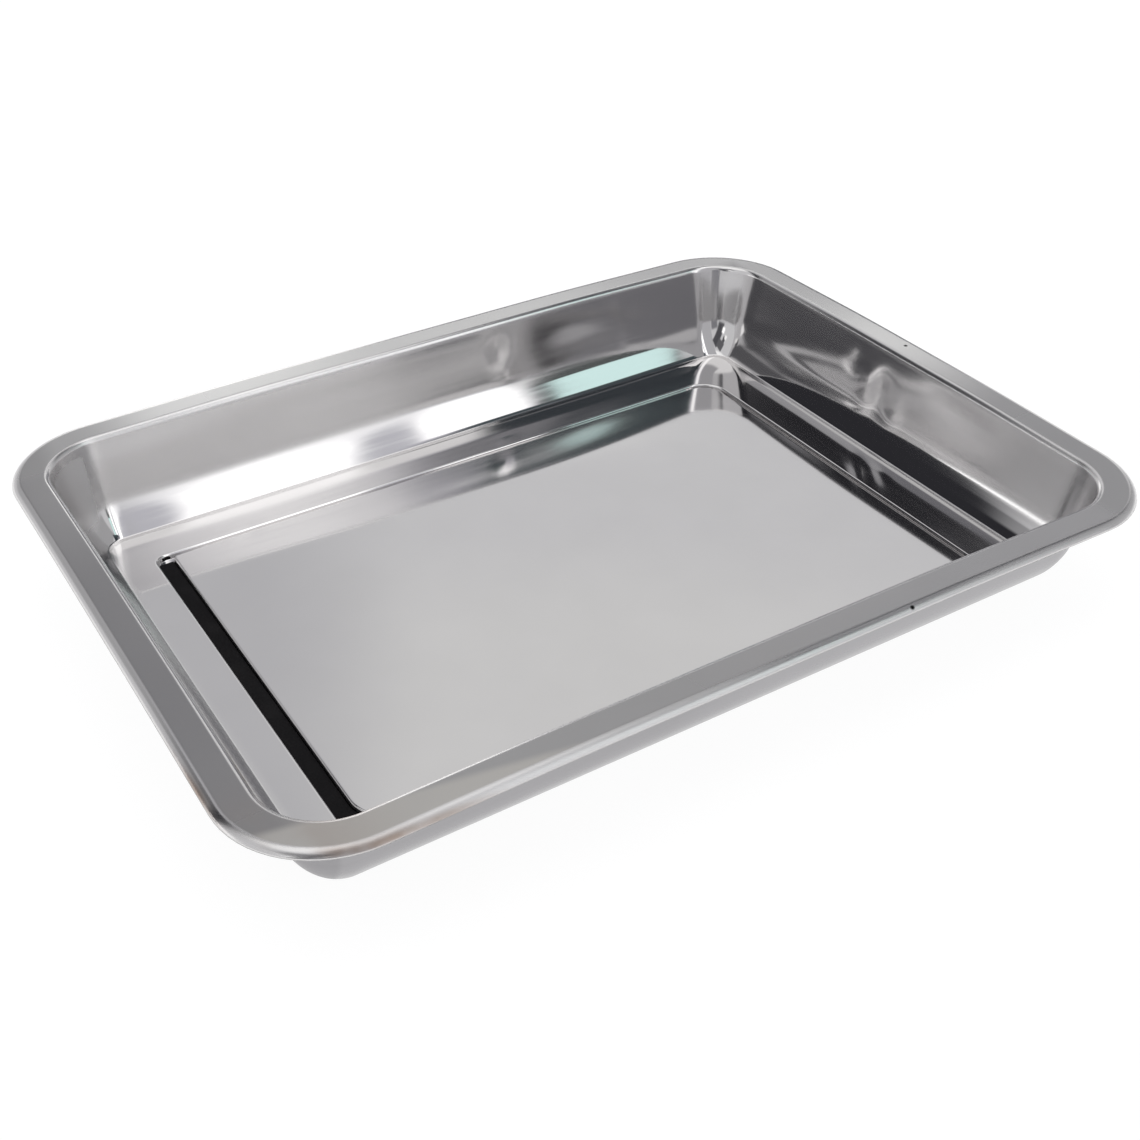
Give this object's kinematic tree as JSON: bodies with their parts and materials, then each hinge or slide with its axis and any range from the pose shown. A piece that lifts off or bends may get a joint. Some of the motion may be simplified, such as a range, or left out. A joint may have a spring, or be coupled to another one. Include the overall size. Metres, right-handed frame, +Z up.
{
  "type": "rectangular metal tray",
  "caption": "Shallow drawn steel tray with a flat rim flange, drafted walls, rounded corners and a flat floor with a channel and a black strip along one side.",
  "frame": {"origin": "middle of the footprint, on the standing plane", "axes": "+X along the long side, the channel being at -X; +Y across the short side; +Z up, out of the tray's mouth"},
  "size_m": [0.4, 0.3, 0.048],
  "materials": {
    "steel": "polished stainless steel with fine haze, worn at the rim",
    "strip": "matte black"
  },
  "bodies": {
    "root": {"tray_pan": "steel", "channel_strip": "strip"}
  },
  "joints": []
}
